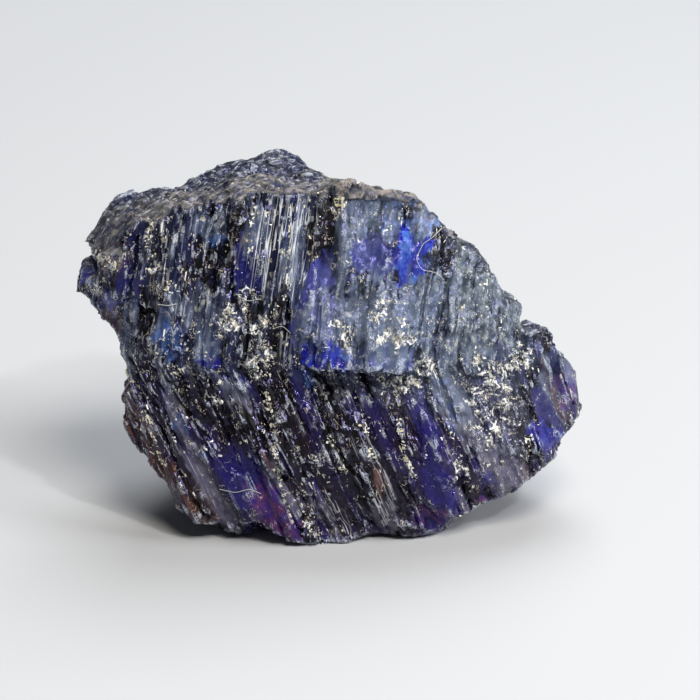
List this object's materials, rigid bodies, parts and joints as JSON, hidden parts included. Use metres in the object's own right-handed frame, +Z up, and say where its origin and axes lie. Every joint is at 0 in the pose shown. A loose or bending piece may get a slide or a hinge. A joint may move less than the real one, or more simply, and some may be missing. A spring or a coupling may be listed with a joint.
{
  "type": "rough tanzanite crystal",
  "caption": "Rough, broken blue-violet tanzanite crystal with ribbed faces and a small flat facet to rest on.",
  "frame": {"origin": "middle of the stone's box, on the plane of its resting facet", "axes": "+Z up out of the resting facet, +X along the length towards the right tip, -Y out of the ribbed front"},
  "size_m": [0.0162, 0.009, 0.0115],
  "materials": {
    "tanzanite": "rough broken crystal, see-through where it is thin"
  },
  "bodies": {
    "root": {"tanzanite_crystal": "tanzanite"}
  },
  "joints": []
}
